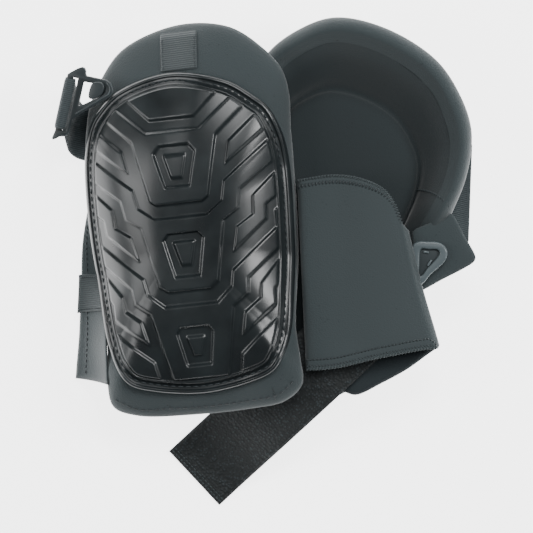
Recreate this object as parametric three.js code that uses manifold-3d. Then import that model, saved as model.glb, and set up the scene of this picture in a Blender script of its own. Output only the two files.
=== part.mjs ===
// A pair of strap-on work knee pads, laid down as they come off: one on its face, one on its shell.
import * as THREE from "three";
import Module from "manifold-3d";
import { mergeVertices } from "three/addons/utils/BufferGeometryUtils.js";

const wasm = await Module();
wasm.setup();

// Millimetres and radians. Each pad has its own frame: u across, v up the leg, w out of the knee.
const AROUND = 32;
const GAP = 0.35;
const FOAM_GAP = 0.9;
const CROWN = 50;
const FLAT_SHARE = 0.2;
const DOME_POWER = 2.2;
const CAP_WALL = 2.2;
const CAP_INSET = 2;
const COVER_WALL = 2;
const ROLL = 8;
const INNER_FLOOR = 28;
const FLOOR_SHARE = 0.62;
const SHIN_RISE = 26;
const CAP_LIFT = 18;
const SHIN_CAP_LIFT = 12;
const OVERHANG_LIFT = 0.4;
const GEL_DEPTH = 7;
const GEL_SHARE = 0.72;
const GEL_EDGE = 0.25;
const THREAD = 0.8;
const THREAD_SECTION = [[0, 0], [-0.2, 0.8], [0.6, 1], [1, 0.2]];
const CLIP_WALL = 3;
const ELASTIC_WALL = 1.6;
const ELASTIC_WIDTH = 32;
const WEBBING_WALL = 1.4;
const HOOK_WIDTH = 50;
const HOOK_WALL = 2;
const BAND_WALL = 4;

// Where the pads lie. The shell-up pad leans on the wall of the shell-down one.
const FRONT_AT = [-45, 23, 18];
const FRONT_TURN = THREE.MathUtils.degToRad(6.2);
const FRONT_LEAN = Math.atan(0.17);
const FRONT_PITCH = Math.atan(0.06);
const REAR_AT = [39.5, 29, CROWN + CAP_WALL + GAP];
const REAR_TURN = THREE.MathUtils.degToRad(-20);

// The rim is pressed down where the other pad or its band lies over it: middle, reach, depth.
const FRONT_PRESS = { middle: 62, from: 15, to: 35, depth: 8, inside: true };
const REAR_PRESS = { middle: 115, from: 35, to: 60, depth: 12, inside: false };

// Outline of the moulded cap, right half, from the thigh end to the shin end.
const CAP_HALF = [
  [38, 98.6],
  [55.5, 86],
  [64, 77],
  [70, 59],
  [71.5, 35],
  [69.5, -5],
  [66, -44],
  [62.5, -70],
  [57, -86],
  [49, -97],
  [33, -103],
];
const CAP_END = 107.5;

// Outline of the sewn cover, round from the middle of the thigh end.
const COVER = [
  [5, 136],
  [39, 130],
  [60, 113],
  [73, 92],
  [77, 62],
  [77, 36],
  [75, -5],
  [72, -44],
  [69, -80],
  [66, -106],
  [52, -119],
  [29, -122],
  [-3, -123],
  [-49, -120],
  [-66, -110],
  [-72, -80],
  [-75, -40],
  [-76, 0],
  [-77, 36],
  [-75, 66],
  [-67, 90],
  [-52, 107],
  [-34, 126],
];

// Stretch bands as rungs from lower to upper edge: both ends of the outer face, and the turn of its wall.
const FRONT_BAND = [
  [[35, -71.5, 50], [33, 57.5, 47.5], 0],
  [[45, -70.4, 52.5], [45, 58.3, 50], 0],
  [[71, -65, 56.5], [62.6, 57, 56], 0],
  [[88, -59.6, 57.5], [78.7, 49.6, 58], 0],
  [[105, -56.3, 57.5], [86.5, 42, 58], 0],
  [[114.8, -56.8, 56], [93, 26, 57], 25],
  [[118.5, -57, 51.5], [96.5, 25, 52.5], 90],
  [[115, -58, 43], [93, 24, 43.5], 155],
  [[96.8, -71.7, 40.4], [80, 2, 41], 180],
  [[79.4, -80.4, 38.5], [64, -14, 39.5], 180],
  [[62, -89.1, 36.2], [46, -30, 37.5], 180],
  [[53, -88, 35], [41, -36, 36.6], 180],
];
const REAR_BAND = [
  [[-47, -34, 13], [-47, 68, 13], 0],
  [[-50, -36, 11], [-52, 66, 11], 0],
  [[-80, -30, 10], [-84, 58, 10], 0],
  [[-84, -30, 5.4], [-88, 56, 5.4], 270],
  [[-80, -28, 0.8], [-84, 54, 0.8], 180],
  [[-50, -28, 0.8], [-50, 54, 0.8], 180],
];
const REAR_ELASTIC = [
  [[115, 12, 18], [117, 84, 18], 0],
  [[126, 12, 15], [128, 83, 15], 0],
  [[137, 13.4, 12], [139.7, 81, 12], 0],
];
const TOP_WEBBING = [
  [[-7, 109, 29.2], [20, 109, 35.8], 0],
  [[-7, 120, 22.8], [20, 120, 29.4], 0],
  [[-7, 131, 16.6], [20, 131, 23], 0],
];

// The hook strap: distance back from its loose end, and height of its upper face.
const HOOK_TIP = [-46.9, -145.7];
const HOOK_HEADING = THREE.MathUtils.degToRad(43);
const HOOK_FIXED = [
  [152, 45.8],
  [140, 44.8],
  [125, 43.6],
  [112, 43],
  [100, 41.2],
  [80, 35.6],
  [60, 27],
  [46, 18.5],
  [36.6, 12.6],
];
const HOOK_LOOSE = [
  [36, 12.2],
  [24, 6.2],
  [14, 2.8],
  [8, 2.1],
  [0, 2.1],
];

// The quick clip, seen along w: a loop with a pointed ear at each end of its webbing bar.
const CLIP_MIDDLE = [-73.7, 95.1, 30];
const CLIP_TURN = -Math.atan2(15, 42);
const CLIP_OUTER = [
  [-3.4, -25],
  [-1.6, -25.8],
  [5, -21.3],
  [7.4, -17],
  [7.4, -8.5],
  [26.5, 9.3],
  [30.3, 13],
  [30.3, 16.5],
  [28, 20.8],
  [24.5, 22],
  [11, 21.8],
  [9.4, 23.8],
  [6.6, 26.8],
  [4, 26.5],
  [-2, 21],
  [-2, -20],
];
const CLIP_SLOT = [
  [2, -18.3],
  [5.4, -18.3],
  [5.4, 18.6],
  [2, 18.6],
];
const CLIP_WINDOW = [
  [8.6, 0],
  [11, 0.6],
  [21.5, 8.6],
  [25.6, 12.8],
  [25.8, 16.8],
  [23.4, 19.4],
  [8.6, 18.6],
];

// The elastic round the bar: its eye, then a tail that slants down the leg and in under the rim.
const STRAP_EYE = 2.9;
const TAIL_OFFSET = 1.5;
const TAIL_BEND = -14;
const TAIL_DROP = -33.5;
const TAIL_REACH = 46;
const TAIL_WALL = 2;
const TAIL_SLANT = 0.4;

const POST_AT = [-50.8, 101.1, 17.4];
const POST = [
  [0, 0],
  [4.6, 0],
  [4.6, 1.6],
  [2.6, 1.6],
  [2.6, 14.6],
  [3.6, 14.6],
  [3.6, 16.6],
  [0, 16.6],
];

const FRONT_WING = [
  [-78.5, 16],
  [-80.5, -28],
  [-92, -88],
  [-78, -93],
  [-78, -60],
  [-78.2, -20],
];
const REAR_WING = [
  [125, 33],
  [142, 4],
  [138, -1],
  [113, -19],
  [102, 17],
];
const WING_WALL = 3;
const FRONT_WING_LEVEL = 3;
const REAR_WING_LEVEL = 46;
const RECEIVER = [
  [0, 11],
  [8, -22],
  [27, -5],
  [29, 3],
  [22, 11],
];
const RECEIVER_WINDOW = [
  [6, 6],
  [20, 6],
  [22.5, 2],
  [21, -3],
  [10, -13],
];
const RECEIVER_AT = [104, 4, 49.4];
const RECEIVER_WALL = 3;

const finish = {
  shell: { color: 0x1a2022, roughness: 0.32 },
  thread: { color: 0x2a3133, roughness: 0.8 },
  cloth: { color: 0x444d4f, roughness: 0.9 },
  lining: { color: 0x3b4446, roughness: 0.9 },
  foam: { color: 0x6b6f70, roughness: 0.95 },
  gel: { color: 0x8fa9ad, roughness: 0.3 },
  webbing: { color: 0x3a4244, roughness: 0.85 },
  hook: { color: 0x1e2426, roughness: 0.95 },
  plastic: { color: 0x15191b, roughness: 0.4 },
};

function named(name, geometry, look) {
  const mesh = new THREE.Mesh(geometry, new THREE.MeshStandardMaterial({ ...look, metalness: 0 }));
  mesh.name = name;
  return mesh;
}

// A solid from its points and triangles, turned to face outward whichever way round it was listed.
function geometryOf(points, triangles) {
  const corners = points.map((p) => new THREE.Vector3(...p));
  const volume = triangles.reduce((sum, [a, b, c]) =>
    sum + corners[a].dot(new THREE.Vector3().crossVectors(corners[b], corners[c])), 0);
  const facing = volume < 0 ? triangles.map(([a, b, c]) => [a, c, b]) : triangles;
  const geometry = new THREE.BufferGeometry();
  geometry.setAttribute("position", new THREE.Float32BufferAttribute(points.flat(), 3));
  geometry.setIndex(facing.flat());
  return geometry;
}

// How far a closed outline reaches from its middle, in each direction that the solids are built on.
function reachOf(outline) {
  const knots = outline.map(([u, v]) => new THREE.Vector3(u, v, 0));
  const fine = new THREE.CatmullRomCurve3(knots, true).getPoints(1440);
  const reach = [];
  for (let i = 0; i < AROUND; i++) {
    const aim = new THREE.Vector3(Math.cos(angleAt(i)), Math.sin(angleAt(i)), 0);
    const nearest = fine.reduce((a, b) => (a.angleTo(aim) < b.angleTo(aim) ? a : b));
    reach.push(nearest.length());
  }
  return reach;
}

function angleAt(i) {
  return (i * 2 * Math.PI) / AROUND;
}

function capOutline() {
  const left = CAP_HALF.map(([u, v]) => [-u, v]).reverse();
  return [[0, CAP_END], ...CAP_HALF, [0, -CAP_END], ...left];
}

const capReach = reachOf(capOutline());
const coverReach = reachOf(COVER);

// How far the rim of the pad is lifted at an angle: the shin end is shallow, and a pressed rim is low.
function rimAt(angle, press) {
  const shin = THREE.MathUtils.smoothstep(-Math.sin(angle), 0.3, 0.95);
  const away = Math.abs(THREE.MathUtils.radToDeg(Math.atan2(
    Math.sin(angle - THREE.MathUtils.degToRad(press.middle)),
    Math.cos(angle - THREE.MathUtils.degToRad(press.middle)),
  )));
  const far = THREE.MathUtils.smoothstep(away, press.from, press.to);
  const pressed = press.depth * (press.inside ? 1 - far : far);
  return { rim: Math.max(SHIN_RISE * shin, pressed), shin };
}

// Half the cross-section of the padded body at one angle, outer skin first, then the roll and the inside.
function skinAt(i, press) {
  const { rim, shin } = rimAt(angleAt(i), press);
  const cap = capReach[i] - CAP_INSET;
  const cover = coverReach[i];
  const overhang = Math.max(cover - cap - ROLL, 0) * OVERHANG_LIFT;
  const edge = rim + THREE.MathUtils.lerp(CAP_LIFT, SHIN_CAP_LIFT, shin) + overhang;
  const inner = THREE.MathUtils.lerp(rim + ROLL, INNER_FLOOR, shin);
  const dome = (s) => edge + (CROWN - edge) * (1 - ((s - FLAT_SHARE) / (1 - FLAT_SHARE)) ** DOME_POWER);
  return [
    [0, CROWN],
    [cap * FLAT_SHARE, CROWN],
    [cap * 0.5, dome(0.5)],
    [cap * 0.75, dome(0.75)],
    [cap * 0.9, dome(0.9)],
    [cap, edge],
    [cover, rim + ROLL * 1.1],
    [cover - ROLL * 0.3, rim + ROLL * 0.35],
    [cover - ROLL, rim],
    [cover - ROLL * 1.7, THREE.MathUtils.lerp(rim + ROLL * 0.35, inner - 1, shin)],
    [cover - ROLL * 2.1, inner],
    [THREE.MathUtils.lerp(cover * FLOOR_SHARE, cover - ROLL * 2.1, 0.35), INNER_FLOOR - 5 * (1 - shin)],
    [cover * FLOOR_SHARE * 0.96, INNER_FLOOR],
    [cover * FLOOR_SHARE * 0.5, INNER_FLOOR],
    [0, INNER_FLOOR],
  ];
}
const CAP_STATIONS = 6;
const SEAM_STATION = 10;

// The same line moved into the body by a distance, each point along the mean of its two normals.
function inset(line, by) {
  return line.map(([r, w], k) => {
    const [ra, wa] = line[Math.max(k - 1, 0)];
    const [rb, wb] = line[Math.min(k + 1, line.length - 1)];
    const length = Math.hypot(rb - ra, wb - wa);
    const movedR = r + (by * (wb - wa)) / length;
    const movedW = w - (by * (rb - ra)) / length;
    const onAxis = r === 0;
    return onAxis ? [0, w - Math.sign(rb - ra || 1) * by] : [movedR, movedW];
  });
}

// A closed solid around the pad's middle from a half section that starts and ends on its axis.
function around(sectionAt) {
  const sections = Array.from({ length: AROUND }, (_, i) => sectionAt(i));
  const rings = sections[0].length - 2;
  const points = [[0, 0, sections[0][0][1]], [0, 0, sections[0][rings + 1][1]]];
  sections.forEach((section, i) => {
    for (const [r, w] of section.slice(1, -1)) {
      points.push([r * Math.cos(angleAt(i)), r * Math.sin(angleAt(i)), w]);
    }
  });
  const at = (i, k) => 2 + (i % AROUND) * rings + k;
  const triangles = [];
  for (let i = 0; i < AROUND; i++) {
    triangles.push([0, at(i, 0), at(i + 1, 0)]);
    triangles.push([1, at(i + 1, rings - 1), at(i, rings - 1)]);
    for (let k = 0; k < rings - 1; k++) {
      const [a, b, c, d] = [at(i, k), at(i, k + 1), at(i + 1, k + 1), at(i + 1, k)];
      // Layers that nest share the same diagonals, so that they don't cut into each other.
      const outwardBound = sections[i][k + 1][0] < sections[i][k + 2][0];
      triangles.push(...(outwardBound ? [[a, b, c], [a, c, d]] : [[a, b, d], [b, c, d]]));
    }
  }
  return geometryOf(points, triangles);
}

// A closed ring around the pad's middle from a closed section.
function ring(sectionAt) {
  const sections = Array.from({ length: AROUND }, (_, i) => sectionAt(i));
  const corners = sections[0].length;
  const points = sections.flatMap((section, i) =>
    section.map(([r, w]) => [r * Math.cos(angleAt(i)), r * Math.sin(angleAt(i)), w]));
  const at = (i, k) => (i % AROUND) * corners + (k % corners);
  const triangles = [];
  for (let i = 0; i < AROUND; i++) {
    for (let k = 0; k < corners; k++) {
      triangles.push([at(i, k), at(i, k + 1), at(i + 1, k + 1)]);
      triangles.push([at(i, k), at(i + 1, k + 1), at(i + 1, k)]);
    }
  }
  return geometryOf(points, triangles);
}

function capSolid(press) {
  return around((i) => {
    const skin = skinAt(i, press).slice(0, CAP_STATIONS + 1);
    const under = inset(skin, -GAP).slice(0, CAP_STATIONS);
    const over = inset(skin, -GAP - CAP_WALL).slice(0, CAP_STATIONS);
    return [...over, ...under.reverse()];
  });
}

function stitchSolid(press) {
  return ring((i) => {
    const skin = skinAt(i, press).slice(0, CAP_STATIONS + 1);
    const [r, w] = inset(skin, -2 * GAP - CAP_WALL)[CAP_STATIONS - 2];
    return THREAD_SECTION.map(([across, up]) => [r + THREAD * across, w + THREAD * up]);
  });
}

function coverSolid(press, wall = COVER_WALL) {
  return around((i) => {
    const skin = skinAt(i, press);
    const outer = skin.slice(0, SEAM_STATION + 1);
    const inner = inset(skin, wall).slice(0, SEAM_STATION + 1);
    return [...outer, ...inner.reverse()];
  });
}

function linerSolid(press) {
  return around((i) => {
    const skin = skinAt(i, press);
    const below = skin.slice(SEAM_STATION);
    const above = inset(skin, COVER_WALL).slice(SEAM_STATION);
    below[0] = between(below[0], below[1], 0.15);
    above[0] = between(above[0], above[1], 0.15);
    return [...above.reverse(), ...below];
  });
}

function between(a, b, t) {
  return [a[0] + (b[0] - a[0]) * t, a[1] + (b[1] - a[1]) * t];
}

function solidOf(geometry) {
  const merged = mergeVertices(geometry, 1e-4);
  const vertProperties = new Float32Array(merged.attributes.position.array);
  return new wasm.Manifold(new wasm.Mesh({ numProp: 3, vertProperties, triVerts: merged.index.array }));
}

function geometryFrom(solid) {
  const { vertProperties, triVerts } = solid.getMesh();
  const geometry = new THREE.BufferGeometry();
  geometry.setAttribute("position", new THREE.BufferAttribute(vertProperties, 3));
  return geometry.setIndex(Array.from(triVerts));
}

// The foam fills the cover and carries a pocket over the knee for the gel.
function foamSolid(press) {
  const block = solidOf(foamBlock(press));
  const cut = block.subtract(solidOf(coverSolid(press, COVER_WALL + GAP)));
  const largest = cut.decompose().reduce((a, b) => (a.volume() > b.volume() ? a : b));
  return geometryFrom(largest);
}

function foamBlock(press) {
  return around((i) => {
    const foam = inset(skinAt(i, press), COVER_WALL + FOAM_GAP);
    const last = foam.length - 1;
    const [pocketR] = foam[last - 1];
    foam[last] = [0, foam[last][1] + GEL_DEPTH];
    foam[last - 1] = [pocketR, foam[last - 1][1] + GEL_DEPTH];
    const lip = between(foam[last - 1], foam[last - 2], GEL_SHARE);
    foam.splice(last - 1, 0, [lip[0], foam[last - 2][1]]);
    return foam;
  });
}

function gelSolid(press) {
  return around((i) => {
    const skin = inset(skinAt(i, press), COVER_WALL + FOAM_GAP);
    const last = skin.length - 1;
    const low = skin[last][1];
    const high = low + GEL_DEPTH - GAP * 2;
    const crest = skin[last - 1][0];
    const lip = between(skin[last - 1], skin[last - 2], GEL_SHARE)[0];
    const [wide, slopeAt] = between([lip, low], [crest, low + GEL_DEPTH], GEL_EDGE);
    return [[0, high], [crest - GAP, high], [wide, slopeAt - GAP * 2], [wide * 0.9, low], [0, low]];
  });
}

// A flat strip between two edges, with a wall on the side that each rung's turn gives.
function strip(rungs, wall) {
  const points = [];
  for (const [low, high, turn] of rungs) {
    const angle = THREE.MathUtils.degToRad(turn);
    const off = [-wall * Math.sin(angle), 0, -wall * Math.cos(angle)];
    points.push(low, high, high.map((x, k) => x + off[k]), low.map((x, k) => x + off[k]));
  }
  const triangles = [];
  for (let i = 0; i < rungs.length - 1; i++) {
    for (let k = 0; k < 4; k++) {
      const [a, b] = [4 * i + k, 4 * i + ((k + 1) % 4)];
      triangles.push([a, a + 4, b + 4], [a, b + 4, b]);
    }
  }
  const end = 4 * (rungs.length - 1);
  triangles.push([0, 1, 2], [0, 2, 3], [end, end + 2, end + 1], [end, end + 3, end + 2]);
  return geometryOf(points, triangles);
}

function hookRungs(stations) {
  const along = [Math.cos(HOOK_HEADING), Math.sin(HOOK_HEADING)];
  return stations.map(([back, height]) => {
    const x = HOOK_TIP[0] + along[0] * back;
    const y = HOOK_TIP[1] + along[1] * back;
    const half = HOOK_WIDTH / 2;
    return [
      [x - along[1] * half, y + along[0] * half, height],
      [x + along[1] * half, y - along[0] * half, height],
      0,
    ];
  });
}

function plate(outline, wall, level) {
  const shape = new THREE.Shape(pathOf(outline));
  const geometry = new THREE.ExtrudeGeometry(shape, { depth: wall, bevelEnabled: false });
  return geometry.translate(0, 0, level);
}

function pathOf(points) {
  return points.map(([x, y]) => new THREE.Vector2(x, y));
}

// A flat moulding with windows through it.
function frameGeometry(outline, windows, wall) {
  const shape = new THREE.Shape(pathOf(outline));
  shape.holes.push(...windows.map((window) => new THREE.Path(pathOf(window))));
  return new THREE.ExtrudeGeometry(shape, { depth: wall, bevelEnabled: false });
}

// The elastic, drawn flat in the plane across the bar and then pulled down the leg as it drops.
function elasticGeometry() {
  const outer = new THREE.Shape();
  const wide = STRAP_EYE + ELASTIC_WALL;
  outer.absarc(0, 0, wide, Math.PI * 1.05, -Math.PI * 0.35, true);
  outer.lineTo(TAIL_OFFSET, TAIL_BEND);
  outer.lineTo(TAIL_OFFSET, TAIL_DROP + TAIL_WALL);
  outer.lineTo(TAIL_REACH, TAIL_DROP + TAIL_WALL);
  outer.lineTo(TAIL_REACH, TAIL_DROP);
  outer.lineTo(-TAIL_OFFSET / 3, TAIL_DROP);
  outer.lineTo(-TAIL_OFFSET, TAIL_BEND);
  const eye = new THREE.Path();
  eye.absarc(0, 0, STRAP_EYE, 0, Math.PI * 2, false);
  outer.holes.push(eye);
  const sweep = { depth: ELASTIC_WIDTH, bevelEnabled: false, curveSegments: 10 };
  const geometry = new THREE.ExtrudeGeometry(outer, sweep);
  geometry.translate(0, 0, -ELASTIC_WIDTH / 2);
  geometry.rotateX(Math.PI / 2);
  return geometry.applyMatrix4(new THREE.Matrix4().makeShear(0, 0, 0, 0, 0, TAIL_SLANT));
}

// The post: a sewn-on foot and a stem with a small head for the loop.
function postGeometry() {
  return new THREE.LatheGeometry(pathOf(POST), 16).rotateX(Math.PI / 2);
}

function padCore(side, press) {
  const pad = new THREE.Group();
  pad.add(named(`${side}_cap`, capSolid(press), finish.shell));
  pad.add(named(`${side}_cap_stitching`, stitchSolid(press), finish.thread));
  pad.add(named(`${side}_cover`, coverSolid(press), finish.cloth));
  pad.add(named(`${side}_foam_core`, foamSolid(press), finish.foam));
  pad.add(named(`${side}_gel_insert`, gelSolid(press), finish.gel));
  pad.add(named(`${side}_liner`, linerSolid(press), finish.lining));
  return pad;
}

function frontPad() {
  const pad = padCore("front", FRONT_PRESS);
  pad.add(named("front_top_webbing", strip(TOP_WEBBING, -WEBBING_WALL), finish.webbing));
  pad.add(named("front_side_wing", plate(FRONT_WING, WING_WALL, FRONT_WING_LEVEL), finish.cloth));
  const post = named("front_clip_post", postGeometry(), finish.plastic);
  post.position.set(...POST_AT);
  const loop = frameGeometry(CLIP_OUTER, [CLIP_SLOT, CLIP_WINDOW], CLIP_WALL);
  const clip = named("front_clip_loop", loop.translate(0, 0, -CLIP_WALL / 2), finish.plastic);
  const elastic = named("front_elastic_strap", elasticGeometry(), finish.webbing);
  for (const piece of [clip, elastic]) {
    piece.position.set(...CLIP_MIDDLE);
    piece.rotation.z = CLIP_TURN;
  }
  pad.add(post, clip, elastic);
  pad.position.set(...FRONT_AT);
  pad.rotation.set(FRONT_PITCH, -FRONT_LEAN, FRONT_TURN, "ZYX");
  return pad;
}

function rearPad() {
  const pad = padCore("rear", REAR_PRESS);
  pad.rotation.y = Math.PI;
  const laid = new THREE.Group();
  laid.add(pad);
  laid.position.set(...REAR_AT);
  laid.rotation.z = REAR_TURN;
  return laid;
}

function loosePieces() {
  const pieces = new THREE.Group();
  pieces.add(named("front_band", strip(FRONT_BAND, BAND_WALL), finish.cloth));
  pieces.add(named("front_hook_strap", strip(hookRungs(HOOK_FIXED), HOOK_WALL), finish.hook));
  pieces.add(named("front_hook_strap_end", strip(hookRungs(HOOK_LOOSE), HOOK_WALL), finish.hook));
  pieces.add(named("rear_band", strip(REAR_BAND, BAND_WALL), finish.cloth));
  pieces.add(named("rear_elastic_strap", strip(REAR_ELASTIC, -TAIL_WALL), finish.webbing));
  pieces.add(named("rear_side_wing", plate(REAR_WING, WING_WALL, REAR_WING_LEVEL), finish.cloth));
  const moulding = frameGeometry(RECEIVER, [RECEIVER_WINDOW], RECEIVER_WALL);
  const receiver = named("rear_clip_receiver", moulding, finish.plastic);
  receiver.position.set(...RECEIVER_AT);
  pieces.add(receiver);
  return pieces;
}

const kneePads = new THREE.Group();
kneePads.add(rearPad(), frontPad(), loosePieces());
kneePads.updateMatrixWorld(true);
const extent = new THREE.Box3().setFromObject(kneePads, true);
const middle = extent.getCenter(new THREE.Vector3());
kneePads.position.set(-middle.x, -middle.y, -extent.min.z);

export default kneePads;
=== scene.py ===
import math

import bmesh
import bpy
import numpy as np
from mathutils import Matrix, Vector


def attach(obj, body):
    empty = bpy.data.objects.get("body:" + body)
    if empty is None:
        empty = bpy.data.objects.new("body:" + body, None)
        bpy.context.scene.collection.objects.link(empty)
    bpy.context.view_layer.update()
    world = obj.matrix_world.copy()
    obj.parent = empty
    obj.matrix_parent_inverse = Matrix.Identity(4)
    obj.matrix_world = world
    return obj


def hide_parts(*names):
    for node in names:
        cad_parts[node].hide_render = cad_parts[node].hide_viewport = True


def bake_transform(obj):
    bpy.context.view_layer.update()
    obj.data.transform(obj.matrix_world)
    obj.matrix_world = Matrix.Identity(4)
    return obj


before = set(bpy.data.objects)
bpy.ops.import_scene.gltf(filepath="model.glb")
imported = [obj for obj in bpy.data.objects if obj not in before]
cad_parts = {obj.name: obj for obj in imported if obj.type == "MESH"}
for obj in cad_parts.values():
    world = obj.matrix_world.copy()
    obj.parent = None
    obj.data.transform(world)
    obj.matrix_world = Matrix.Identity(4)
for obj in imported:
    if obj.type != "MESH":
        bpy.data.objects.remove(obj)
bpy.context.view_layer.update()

# The camera looks straight down on the pair through a long lens, as a catalogue flat lay is shot.
# The frame is 357 mm across on the level of the caps.
MM = 0.001
camera_data = bpy.data.cameras.new("camera")
camera = bpy.data.objects.new("camera", camera_data)
bpy.context.collection.objects.link(camera)
bpy.context.scene.camera = camera
CAMERA_HEIGHT = 4.0
FRAME_WIDTH = 0.357
CAP_LEVEL = 0.045
camera_data.sensor_width = 36
camera_data.lens = camera_data.sensor_width * (CAMERA_HEIGHT - CAP_LEVEL) / FRAME_WIDTH
camera_data.clip_end = 20
camera.location = (0.00215, -0.0024, CAMERA_HEIGHT)


# The floor is a plain white sweep. It glows a little, as a light table does, so shadows stay faint.
def linear(code):
    parts = [int(code[i : i + 2], 16) / 255 for i in (1, 3, 5)]
    return [p / 12.92 if p <= 0.04045 else ((p + 0.055) / 1.055) ** 2.4 for p in parts] + [1]


def node(material, kind, settings=None, inputs=None):
    made = material.node_tree.nodes.new(kind)
    for name, value in (settings or {}).items():
        setattr(made, name, value)
    for name, value in (inputs or {}).items():
        if isinstance(value, bpy.types.NodeSocket):
            material.node_tree.links.new(value, made.inputs[name])
        else:
            made.inputs[name].default_value = value
    return made


def new_material(name):
    material = bpy.data.materials.new(name)
    material.use_nodes = True
    shader = material.node_tree.nodes["Principled BSDF"]
    return material, shader


def link(material, socket, target):
    material.node_tree.links.new(socket, target)


def mesh_piece(name, points, faces, smooth=True):
    mesh = bpy.data.meshes.new(name)
    mesh.from_pydata([tuple(p) for p in np.asarray(points) * MM], [], [tuple(f) for f in faces])
    mesh.update()
    mesh.polygons.foreach_set("use_smooth", [smooth] * len(mesh.polygons))
    piece = bpy.data.objects.new(name, mesh)
    bpy.context.collection.objects.link(piece)
    return piece


FLOOR_HALF = 3000
floor_corners = [(x * FLOOR_HALF, y * FLOOR_HALF, -0.4) for x, y in [(-1, -1), (1, -1), (1, 1), (-1, 1)]]
floor = mesh_piece("floor", floor_corners, [(0, 1, 2, 3)])
floor_paint, floor_shader = new_material("white_paper_sweep")
floor_shader.inputs["Base Color"].default_value = linear("#f6f6f6")
floor_shader.inputs["Roughness"].default_value = 0.9
floor_shader.inputs["Emission Color"].default_value = linear("#ffffff")
floor_shader.inputs["Emission Strength"].default_value = 3.6
floor.data.materials.append(floor_paint)


# Three large softboxes: one on the left, one high past the thigh ends, and one on the right.
def softbox(name, place, aim, size, power):
    data = bpy.data.lights.new(name, "AREA")
    data.shape = "RECTANGLE"
    data.size, data.size_y = size
    data.energy = power
    lamp = bpy.data.objects.new(name, data)
    lamp.location = place
    lamp.rotation_euler = (Vector(aim) - Vector(place)).to_track_quat("-Z", "Y").to_euler()
    bpy.context.collection.objects.link(lamp)
    return lamp


softbox("left_softbox", (-1.05, 0.05, 0.8), (-0.05, 0, 0), (0.6, 0.9), 7.5)
softbox("thigh_end_softbox", (0.2, 0.75, 1.3), (0.02, 0.02, 0), (0.6, 0.45), 11)
softbox("right_softbox", (0.95, 0.28, 0.92), (0, 0.05, 0), (0.4, 0.5), 11)
world = bpy.data.worlds.new("studio")
bpy.context.scene.world = world
world.use_nodes = True
world.node_tree.nodes["Background"].inputs["Color"].default_value = linear("#dfe6ea")
world.node_tree.nodes["Background"].inputs["Strength"].default_value = 0.2

# The padded body of each pad: a bowl of foam in a sewn cover, with a rolled rim round the knee.
# Its cross-section is one line at each angle: the outer dome, the roll, then the inside of the cup.
CROWN, ROLL, INNER_FLOOR = 50, 8, 28
FLAT_SHARE, DOME_POWER = 0.2, 2.2
CAP_INSET, CAP_STAND, COVER_SINK = 2, 2.55, 2
# The shell-down cap's panels lie on the ground, so its own ground is set lower.
cap_stand = {"front": CAP_STAND, "rear": 0.35}
FLOOR_SWELL, CREASE_OUT = 5, 4
FLOOR_SHARE, SHIN_RISE = 0.62, 26
CAP_LIFT, SHIN_CAP_LIFT, OVERHANG_LIFT = 18, 12, 0.4
CAP_HALF = [(38, 98.6), (55.5, 86), (64, 77), (70, 59), (71.5, 35), (69.5, -5), (66, -44)]
CAP_HALF += [(62.5, -70), (57, -86), (49, -97), (33, -103)]
CAP_END = 107.5
# The outer side of the knee is cut back a little at the thigh, so the two sides aren't mirror images.
CAP_OUTER_HALF = [(-33, -103), (-49, -97), (-57, -86), (-62.5, -70), (-66, -44), (-69, -5), (-68.6, 35)]
CAP_OUTER_HALF += [(-66, 59), (-60.5, 77), (-53, 87), (-38, 98.6)]
cap_outline = [(0, CAP_END), *CAP_HALF, (0, -CAP_END), *CAP_OUTER_HALF]
# The shell-up pad sags wider under its cap at the thigh and shin, and is drawn in along its sides.
FRONT_COVER = [(5, 138), (40, 133.5), (61, 117.5), (73, 101), (76, 84), (74, 60), (72.5, 36), (70.5, -5)]
FRONT_COVER += [(66.6, -44), (64, -72), (65, -92), (64.5, -109), (52, -119), (29, -121.6), (-3, -122)]
FRONT_COVER += [(-49, -118.6), (-65, -111), (-67, -92), (-65, -72), (-66.8, -44), (-70, -5)]
FRONT_COVER += [(-69.8, 36), (-67.4, 64), (-61.5, 90)]
FRONT_COVER += [(-51, 108), (-34, 126)]
# The shell-down pad spreads at the thigh, on the side that the other pad doesn't hold in.
REAR_COVER = [(5, 135), (39, 130), (60, 113), (73, 92), (77, 62), (77, 36), (75, -5), (72, -44)]
REAR_COVER += [(69, -80), (66, -106), (52, -119), (29, -122), (-3, -121), (-36, -116), (-54, -104)]
REAR_COVER += [(-65, -80), (-73, -40), (-76.5, 0), (-80, 34), (-80.5, 62), (-73.5, 90), (-57, 111)]
REAR_COVER += [(-34, 127)]


def smoothstep(x, low, high):
    t = np.clip((x - low) / (high - low), 0, 1)
    return t * t * (3 - 2 * t)


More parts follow.
